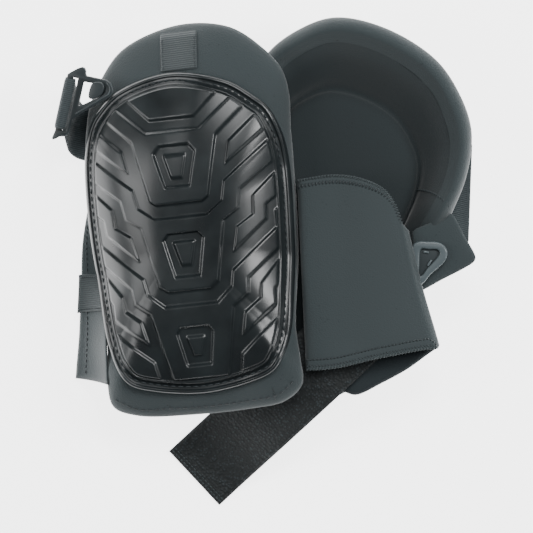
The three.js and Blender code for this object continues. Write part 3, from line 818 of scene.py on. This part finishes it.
edge_line = [along_grid(grid, t, 0.72) + [0, 0, 1.5] for t in np.linspace(0.12, 0.97, 40)]
edge_line = placed(edge_line, front_place)
edge_row = stitches("front_wing_stitches", edge_line, np.tile(pad_up, (40, 1)), 3.6, 2.5, 0.9, 0.25, None)
rows, cols = np.meshgrid(np.linspace(0.44, 0.64, 14), np.linspace(-0.02, 1.08, 12), indexing="ij")
keeper = []
for row_share, column_share in zip(rows.ravel(), cols.ravel()):
    point = along_grid(grid, row_share, min(max(column_share, 0), 1))
    keeper.append(point + [-max(column_share - 1, 0) * 18, 0, 2.2])
keeper = placed(keeper, front_place).reshape(14, 12, 3)
patch = slab("front_wing_keeper", keeper, np.tile(pad_up, (14, 12, 1)), 1.4)
patch.data.materials.append(webbing)
wing_pieces = [flap, edge_row, patch]
for row in (1, -2):
    tack = keeper[row, 1:-1] + pad_up * 0.7
    name = f"front_keeper_tack_{row % 14}"
    wing_pieces.append(stitches(name, tack, np.tile(pad_up, (10, 1)), 1.5, 1.3, 0.7, 0.2, None))
# The wing is sewn to the cover along its inner edge.
for piece in wing_pieces:
    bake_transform(piece)

# The quick clip is injection-moulded acetal, satin where the mould was textured. Its tone lifts on convex
# edges: a painted highlight where the corners catch the light.
acetal, shader = new_material("moulded_acetal")
place_node = node(acetal, "ShaderNodeTexCoord")
spark = node(
    acetal,
    "ShaderNodeTexNoise",
    None,
    {"Vector": place_node.outputs["Object"], "Scale": 1000 / 0.9, "Detail": 3},
)
# Painted highlight: convex edges, found by pointiness, are mixed to a lighter tone.
shape_node = node(acetal, "ShaderNodeNewGeometry")
edges = node(
    acetal,
    "ShaderNodeMapRange",
    None,
    {"Value": shape_node.outputs["Pointiness"], "From Min": 0.5, "From Max": 0.62},
)
tone = node(acetal, "ShaderNodeMix", {"data_type": "RGBA"}, {0: edges.outputs["Result"]})
tone.inputs[6].default_value = linear("#23292b")
tone.inputs[7].default_value = linear("#596164")
link(acetal, tone.outputs[2], shader.inputs["Base Color"])
relief(acetal, spark.outputs["Fac"], 0.15, 0.0001)
shader.inputs["Roughness"].default_value = 0.33
shader.inputs["IOR"].default_value = 1.48


def moulding(name, outline, windows, place, low, high, bevel):
    """A moulded plate with windows through it and rounded edges, between two levels of its frame."""
    data = bpy.data.curves.new(name, "CURVE")
    data.dimensions = "2D"
    data.fill_mode = "BOTH"
    for loop in [outline, *windows]:
        line = data.splines.new("POLY")
        line.points.add(len(loop) - 1)
        for point, (x, y) in zip(line.points, loop):
            point.co = (x * MM, y * MM, 0, 1)
        line.use_cyclic_u = True
    data.extrude = ((high - low) / 2 - bevel) * MM
    data.bevel_depth = bevel * MM
    data.bevel_resolution = 3
    data.offset = -bevel * MM
    drawn = bpy.data.objects.new(name, data)
    bpy.context.collection.objects.link(drawn)
    bpy.context.view_layer.update()
    mesh = bpy.data.meshes.new_from_object(drawn.evaluated_get(bpy.context.evaluated_depsgraph_get()))
    bpy.data.objects.remove(drawn)
    mesh.transform(Matrix.Translation((0, 0, (high + low) / 2 * MM)))
    shift = place.copy()
    shift.translation *= MM
    mesh.transform(shift)
    mesh.name = name
    piece = bpy.data.objects.new(name, mesh)
    bpy.context.collection.objects.link(piece)
    face_outwards(mesh, weld=0.00001)
    mesh.polygons.foreach_set("use_smooth", [True] * len(mesh.polygons))
    mesh.set_sharp_from_angle(angle=math.radians(38))
    return piece


CLIP_LEVEL = 30
clip_turn = -math.atan2(15, 42)
clip_place = front_place @ Matrix.Translation((-73.7, 95.1, CLIP_LEVEL)) @ Matrix.Rotation(clip_turn, 4, "Z")
clip_outline = [(7.2, -17), (7.2, -9.4), (16, -0.8), (26.4, 8.9), (29.6, 11.9), (30.6, 14.4), (29.9, 17.6)]
clip_outline += [(27.6, 20.6), (24.5, 21.8), (10.8, 21.5), (9.9, 22.6), (9.6, 24.6), (8.3, 26.4), (6.4, 26.7)]
clip_outline += [(3.6, 25), (-0.6, 21.4), (-2.3, 19.6), (-2.4, -19.6), (-3.4, -24.6), (-2.6, -25.7)]
clip_outline += [(-0.9, -24.8), (1.6, -22.6), (4.6, -21.8), (6.6, -20)]
slot = [(2, -18), (5.4, -18), (5.4, 18.4), (2, 18.4)]
window = [(9.6, 1.2), (10.3, 0.7), (11.6, 1.5), (21.3, 9), (24.4, 12), (25.3, 14.2), (24.6, 16.2)]
window += [(23, 17.6), (21.2, 17.8), (10.2, 17.2), (9.6, 16.6)]
loop = moulding("front_clip_moulding", clip_outline, [slot, window], clip_place, -1.5, 1.5, 0.8)
loop.data.materials.append(acetal)
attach(loop, "front_clip")
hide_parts("front_clip_loop")
ridge = [(9.2, -5.4), (25.4, 9.9), (28.4, 12.8), (28.9, 15.4), (27.6, 18.4), (25, 20.3), (24.6, 19.7)]
ridge += [(27, 17.8), (27.9, 15.2), (27.4, 13), (24.6, 10.4), (8.6, -4.8)]
rib = moulding("front_clip_rib", ridge, [], clip_place, 1.3, 2.3, 0.28)
rib.data.materials.append(acetal)
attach(rib, "front_clip")

# The post that the loop drops over: a stem at the edge of the cover, with a D-shaped head and a round foot.
head = [(15.3, 8.4), (15.4, 16.4), (16.8, 18.5), (21.8, 19.6), (24.2, 17.6), (24.5, 14.9), (23.6, 11.8)]
head += [(19.2, 7.9), (16.5, 7.2)]
fine_head = spline(head, 5, closed=True)
stud = moulding("front_clip_post_head", fine_head, [], clip_place, 1.9, 4, 0.7)


def disc(middle, radius, sides):
    turns = np.linspace(0, 2 * math.pi, sides, endpoint=False)
    return [(middle[0] + radius * math.cos(t), middle[1] + radius * math.sin(t)) for t in turns]


POST_MIDDLE = (19.5, 13.3)
neck = moulding("front_clip_post_stem", disc(POST_MIDDLE, 2.6, 24), [], clip_place, -12.4, 2.6, 0.2)
base = moulding("front_clip_post_foot", disc(POST_MIDDLE, 4.6, 32), [], clip_place, -13.4, -10.8, 0.6)
for piece in (stud, neck, base):
    piece.data.materials.append(acetal)
    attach(piece, "front_pad")
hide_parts("front_clip_post")

# Woven elastic round the clip's bar: covered rubber in warp ribs that run along its length.
# The ribs are 0.9 mm apart and drawn 1.3 mm apart. It slants down the leg and in under the rim.
elastic = woven(
    "woven_covered_elastic",
    turn=math.radians(13.5),
    ribs=(1.3, 0.4, 1),
    flecks=(1.1, 3),
    shades=("#20282b", "#3a4346"),
    low=0.5,
    height=0.45,
    rough=0.78,
    sheen=0.15,
)

EYE, ELASTIC_WALL, ELASTIC_HALF = 3.2, 1.3, 17.4
turn = np.linspace(math.radians(200), math.radians(-70), 24)
round_bar = [(0.3 + EYE * math.cos(t), EYE * math.sin(t)) for t in turn]
tail = [(2.4, -6), (2.9, -12), (3.9, -20), (5.4, -27), (10, -31.6), (19, -32.5), (45.5, -32.5)]
body_line = spline([*round_bar, *tail], 5)[::2]
TAIL_SLANT = 0.7
across = np.linspace(-1, 1, 15)
centre, up = [], []
ahead = np.gradient(body_line, axis=0)
ahead /= np.linalg.norm(ahead, axis=1)[:, None]
for (x, z), (dx, dz) in zip(body_line, ahead):
    centre.append([(x, c * ELASTIC_HALF + TAIL_SLANT * min(z + EYE, 0), z) for c in across])
    up.append([(-dz, 0, dx)] * len(across))
centre, up = np.array(centre, float), np.array(up, float)
turned_up = (up.reshape(-1, 3) @ np.array(clip_place)[:3, :3].T).reshape(up.shape)
centre_grid = placed(centre.reshape(-1, 3), clip_place).reshape(centre.shape)
eye = slab("front_elastic", centre_grid, turned_up, ELASTIC_WALL)
eye.data.materials.append(elastic)
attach(eye, "front_pad")
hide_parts("front_elastic_strap")

# The shell-down pad's side wing and the receiver sewn on it, which the other strap's clip drops into.
wing_edge = [(100, 14), (100, 21), (112, 27), (124.5, 33.1), (126.8, 32.4), (134.5, 18.4), (141.8, 5.2)]
wing_edge += [(142, 2.8), (140.6, 0.4), (134, -3.8), (120, -11), (106, -18.4), (103.4, -18.6), (102, -16)]
fine = spline(wing_edge, 6, closed=True)
middle = fine.mean(0)
rings = np.linspace(0, 1, 12)
grid = middle + (fine - middle)[:, None, :] * rings[None, :, None]
level = 47.6 + 0.6 * noise_field(grid[..., 0], grid[..., 1], 34, 5) - 1.2 * rings[None, :] ** 6
points = np.concatenate([grid, level[..., None]], axis=2)[:, 1:]
n, k = points.shape[:2]
top = points.reshape(-1, 3)
under = top - [0, 0, 2.6]
count = len(top)
faces = []
for i in range(n):
    a, b = i * k, (i + 1) % n * k
    for j in range(k - 1):
        faces += [(a + j, a + j + 1, b + j + 1, b + j)]
        faces += [(count + a + j, count + b + j, count + b + j + 1, count + a + j + 1)]
    faces += [(a + k - 1, count + a + k - 1, count + b + k - 1, b + k - 1)]
    faces += [(2 * count, a, b), (2 * count + 1, count + b, count + a)]
points = np.vstack([top, under, [*middle, 47.6], [*middle, 45]])
flap = mesh_piece("rear_side_wing_flap", points + np.array(PAIR_SHIFT), faces)
flap.data.materials.append(cover_jersey)
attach(flap, "rear_pad")
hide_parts("rear_side_wing")

receiver_place = Matrix.Translation(PAIR_SHIFT)
outer = [(100, 12), (104, 14.3), (110, 14.3), (116, 14), (120, 12.2), (122.8, 8.2), (122.3, 3), (119, -1.4)]
outer += [(112, -7.5), (107, -13.4), (103.4, -15), (101.5, -6)]
inner = [(105.6, 9.2), (111, 9.1), (116.4, 8.8), (117.8, 6.8), (117, 4.6), (112.5, -0.6), (109.6, -3.6)]
inner += [(106.3, -8), (104.6, -8.6), (104.3, 0)]
outer, inner = spline(outer, 5, closed=True), spline(inner, 5, closed=True)
rim = moulding("rear_receiver_rim", outer, [inner], receiver_place, 49.3, 52.4, 1.2)
plate_line = [(101.5, 11), (112, 12), (119, 10.4), (120.6, 5), (112, -5), (104.6, -12.4), (102.6, -6)]
plate_line = spline(plate_line, 5, closed=True)
plate = moulding("rear_receiver_plate", plate_line, [], receiver_place, 48.9, 49.9, 0.2)
lugs = [
    ("upper", [(107.2, 8.2), (110.6, 7.6), (110.4, 6.4), (107, 6.9)]),
    ("lower", [(112.9, 1.6), (110.4, -2.2), (109.4, -1.6), (111.8, 2.2)]),
]
receiver_plastic = acetal.copy()
receiver_plastic.name = "moulded_acetal_textured"
# The receiver's copy keeps the painted highlight on convex edges, in lighter tones.
mix = next(n for n in receiver_plastic.node_tree.nodes if n.bl_idname == "ShaderNodeMix")
mix.inputs[6].default_value = linear("#4a5356")
mix.inputs[7].default_value = linear("#6d777b")
rim.data.materials.append(receiver_plastic)
plate.data.materials.append(acetal)
for name, line in lugs:
    lug = moulding(f"rear_receiver_lug_{name}", line, [], receiver_place, 49.6, 51.2, 0.4)
    lug.data.materials.append(receiver_plastic)
    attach(lug, "rear_pad")
for piece in (rim, plate):
    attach(piece, "rear_pad")
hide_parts("rear_clip_receiver")

# The stretch bands: 4 mm neoprene, jersey outside and a brushed loop face inside, drawn darker as painted
# shade where the band lies under itself.
# The shell-up pad's band runs out to the right, folds over, and comes back under itself.
band_jersey = jersey("stretch_jersey_on_neoprene", "#2c3335", "#394143", 1.2)
# The inside face's darker tones are painted shade for the returned layer.
band_inside_painted_shade = jersey("loop_face_painted_shade", "#1b2123", "#272e31", 1.4, 0.15)
overlock = plied("texturised_overlock_yarn", 0.7, "#2e3537", "#4b5456", 0.85)

FRONT_BAND = [
    [(28.5, -72, 48.6), (22.4, 56, 45.8), 0],
    [(48, -70.4, 53), (48, 59.3, 50.6), 0],
    [(71, -65, 56.5), (66, 56.6, 56.4), 0],
    [(88, -61.5, 58), (80, 50, 58.6), 0],
    [(105, -58.3, 58), (87, 41, 58.2), 0],
    [(114.4, -57.3, 56.2), (92.6, 28, 57), 28],
    [(118.2, -57, 51.6), (96.6, 23.5, 52.2), 90],
    [(114.6, -58.6, 44), (92.6, 22.6, 43.9), 152],
    [(96.8, -71, 40.6), (80, 2, 41.2), 180],
    [(79.4, -80.6, 38.5), (64, -14, 39.6), 180],
    [(62, -88.6, 36.2), (47, -30, 37.6), 180],
    [(54, -86.5, 35.2), (42, -36, 36.8), 180],
]
REAR_BAND = [
    [(-52.5, -22, 31), (-30, 60, 31), -60],
    [(-51, -28, 21), (-37, 64, 21), -60],
    [(-52, -32, 14.5), (-46, 67, 14.5), -30],
    [(-58, -34, 11.5), (-58, 65, 11.5), 0],
    [(-80, -30, 10), (-84, 58, 10), 0],
    [(-84.3, -30, 5.4), (-88.2, 56, 5.4), -90],
    [(-80, -28, 0.8), (-84, 54, 0.8), -180],
    [(-50, -28, 0.8), (-50, 54, 0.8), -180],
]
BAND_WALL = 4


def ribbon(rungs, wall, across, samples=8):
    """Middle points and outward normals of a strip, from its low edge, high edge and turn at each rung."""
    low = spline([r[0] for r in rungs], samples)
    high = spline([r[1] for r in rungs], samples)
    at = np.arange(len(low)) / samples
    turn = np.radians(np.interp(at, range(len(rungs)), [r[2] for r in rungs]))
    normal = np.stack([np.sin(turn), 0 * turn, np.cos(turn)], axis=1)
    share = (np.arange(across) / (across - 1))[None, :, None]
    outer = low[:, None, :] * (1 - share) + high[:, None, :] * share
    normals = np.repeat(normal[:, None, :], across, axis=1)
    return outer - normals * wall / 2, normals


def laid(points):
    return np.asarray(points, float) + np.array(PAIR_SHIFT)


def two_faced(piece, faced, backed):
    """Gives a slab one cloth on its outer face and rim, and another on its inner face."""
    piece.data.materials.append(faced)
    piece.data.materials.append(backed)
    slots = np.zeros(len(piece.data.polygons), int)
    slots[1 : 2 * piece["quads"] : 2] = 1
    piece.data.polygons.foreach_set("material_index", slots)


middle, normals = ribbon(FRONT_BAND, BAND_WALL, 40)
ripple = 0.9 * noise_field(middle[..., 0], middle[..., 1], 62, 14) - 0.4
rung = np.arange(len(middle))[:, None] / 8
folded = smoothstep(rung, 0, 1.5) * (1 - smoothstep(rung, 5, 7))
middle = middle + normals * (ripple * folded * smoothstep(middle[..., 1], -64, -50))[..., None]
band = slab("front_stretch_band", laid(middle), normals, BAND_WALL)
two_faced(band, band_jersey, band_inside_painted_shade)
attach(band, "front_pad")
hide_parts("front_band")

# Its lower edge has a 7.5 mm binding with a coverstitch on top and an overlocked edge.
sewn = 6 * 8 - 5
outer_face = middle + normals * (BAND_WALL / 2)
BINDING = 7.5
wide = np.linalg.norm(outer_face[:, 1] - outer_face[:, 0], axis=1)[:sewn]
taper = 1 - smoothstep(np.arange(sewn) / sewn, 0.86, 1.0) * 0.72


def across_band(k, distance):
    """A point on the band's outer face, some way in from its low edge."""
    place = distance / wide[k]
    cell = min(int(place), 38)
    return outer_face[k, cell] * (1 - (place - cell)) + outer_face[k, cell + 1] * (place - cell)


bias = [
    [across_band(k, BINDING * taper[k] * s) + normals[k, 0] * 0.45 for s in np.linspace(-0.02, 1, 7)]
    for k in range(sewn)
]
binding = slab("front_band_binding", laid(bias), normals[:sewn, :7], 1.1)
binding.data.materials.append(band_jersey)
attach(binding, "front_pad")
ups = normals[:sewn, 0]
cover_line = laid([across_band(k, BINDING * taper[k] * 0.93) + normals[k, 0] * 1.0 for k in range(sewn)])
cover_stitch = stitches("front_band_coverstitch", cover_line, ups, 2.3, 1.5, 1.25, 0.2, slant=25)
edge_line = laid([across_band(k, 0.7) + normals[k, 0] * 1.0 for k in range(sewn)])
whip = stitches("front_band_overlock", edge_line, ups, 2.1, 2.6, 0.9, 0.1, slant=62, yarn=overlock)
inner_line = laid([across_band(k, 2.6 * taper[k]) + normals[k, 0] * 1.0 for k in range(sewn)])
loops = stitches("front_band_loops", inner_line, ups, 2.1, 1.9, 0.8, 0.1, slant=-50)

# The upper edge is turned and flatlocked: short bars across a shallow groove.
turned_edge = 40
top_ups = normals[:turned_edge, -1]
top_line = laid([outer_face[k, -1] * 0.962 + outer_face[k, 0] * 0.038 for k in range(turned_edge)])
flatlock = stitches("front_band_flatlock", top_line, top_ups, 2.3, 3.0, 1.2, 0.15, slant=82)
rim_line = laid([outer_face[k, -1] * 0.993 + outer_face[k, 0] * 0.007 for k in range(turned_edge)])
edging = stitches("front_band_edging", rim_line, top_ups, 2.0, 2.2, 0.8, 0.1, slant=65, yarn=overlock)

middle, normals = ribbon(REAR_BAND, BAND_WALL, 24)
band = slab("rear_stretch_band", laid(middle), normals, BAND_WALL)
two_faced(band, band_jersey, band_inside_painted_shade)
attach(band, "rear_pad")
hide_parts("rear_band")
edge = middle[:, 1] + normals[:, 1] * BAND_WALL / 2
stitches("rear_band_stitches", laid(edge), normals[:, 1], 2.6, 1.8, 1.1, 0.2, "rear_pad")

# The shell-down pad's elastic, which shows past its right side.
REAR_ELASTIC = [
    [(113, 12, 19), (115, 84, 19), 0],
    [(126, 12.4, 17), (128, 83, 17), 0],
    [(134, 13.2, 14.6), (136.5, 81.6, 14.6), 0],
    [(138.6, 14.6, 13.9), (141, 80, 13.9), 0],
]
middle, normals = ribbon(REAR_ELASTIC, 2, 30)
strap = slab("rear_elastic", laid(middle), normals, 2)
strap.data.materials.append(elastic)
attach(strap, "rear_pad")
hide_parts("rear_elastic_strap")

# The hook strap: 50 mm nylon hook tape, sewn to the band's inside and running out under the hem.
# A field of cut hooks makes it matt and near black. They are 1 mm apart, and drawn 1.9 mm apart.
hook_tape, shader = new_material("moulded_nylon_hook_tape")
place_node = node(hook_tape, "ShaderNodeTexCoord")
turned = node(
    hook_tape,
    "ShaderNodeMapping",
    None,
    {"Vector": place_node.outputs["Object"], "Rotation": (0, 0, -math.radians(43))},
)
hooks = node(
    hook_tape,
    "ShaderNodeTexVoronoi",
    {"feature": "F1"},
    {"Vector": turned.outputs["Vector"], "Scale": 1000 / 1.9, "Randomness": 0.75},
)
painted_shade_and_mottle = node(
    hook_tape,
    "ShaderNodeTexNoise",
    None,
    {"Vector": place_node.outputs["Object"], "Scale": 1000 / 5, "Detail": 3},
)
both = node(
    hook_tape,
    "ShaderNodeMath",
    {"operation": "MULTIPLY_ADD"},
    {0: hooks.outputs["Distance"], 1: -1.2, 2: 0.0},
)
link(hook_tape, painted_shade_and_mottle.outputs["Fac"], both.inputs[2])
ramp(hook_tape, both.outputs[0], "#121718", "#2b3336", 0.0, 0.45)
relief(hook_tape, hooks.outputs["Distance"], 0.8, 0.0007, {"invert": True})
shader.inputs["Roughness"].default_value = 0.7

HOOK_TIP, HOOK_WIDTH, HOOK_WALL = np.array([-46.9, -145.7]), 50, 2
HOOK_HEADING = math.radians(43)
hook_line = [(152, 45.8), (140, 44.8), (125, 43.6), (112, 43), (100, 41.2), (80, 35.6), (60, 27), (46, 18.5)]
hook_line += [(36.3, 12.4), (24, 6.2), (14, 2.9), (7, 2.1), (0, 2.1)]
strap_way = np.array([math.cos(HOOK_HEADING), math.sin(HOOK_HEADING)])
strap_side = np.array([-strap_way[1], strap_way[0]])


def hook_point(back, across, height):
    """A point on the hook strap, by its distance back from the tip and across from the middle."""
    return [*(HOOK_TIP + strap_way * back + strap_side * across), height]


backs = np.arange(0, 152.1, 2)
path = spline(hook_line[::-1], 10)
heights = np.interp(backs, path[:, 0], path[:, 1])
slope = np.gradient(heights, backs)
acrosses = np.linspace(-HOOK_WIDTH / 2, HOOK_WIDTH / 2, 27)
tops = np.array([[hook_point(b, a, h) for a in acrosses] for b, h in zip(backs, heights)])
ups = np.array([[[*(-strap_way * m), 1] for _ in acrosses] for m in slope])
ups /= np.linalg.norm(ups, axis=2)[..., None]
strap = slab("front_hook_strap_tape", laid(tops - ups * HOOK_WALL / 2), ups, HOOK_WALL)
strap.data.materials.append(hook_tape)
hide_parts("front_hook_strap", "front_hook_strap_end")
rows = []
for back in (2.2, 4.4):
    line = laid([hook_point(back, a, 2.1) for a in np.linspace(-24, 24, 30)])
    row = stitches(
        f"front_hook_end_stitches_{back:.0f}",
        line,
        np.tile([0, 0, 1.0], (30, 1)),
        *(2.6, 2.0, 0.8, 0.2),
        body="front_strap_end",
        yarn=overlock,
    )
    rows.append(row)
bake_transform(strap)

# The seam across the rolled rim of the shell-down pad, where its cover's two panels meet.
bow = 3 * np.sin(np.linspace(0, math.pi, 30))
seam = np.column_stack([np.linspace(-53, -77, 30), np.linspace(41, 37, 30) + bow])
below = -np.array(rear_place)[:3, 2]
line = placed(on_rim("rear", seam), rear_place)
ups = np.tile(below, (30, 1))
stitches("rear_rim_seam", line, ups, 2.6, 2.0, 1.2, 0.3, "rear_pad", slant=35)
yarn_line = line + below * 0.2
stitches("rear_rim_seam_yarn", yarn_line, ups, 2.6, 1.6, 0.7, 0.3, "rear_pad", slant=-40, yarn=overlock)

bpy.context.view_layer.update()
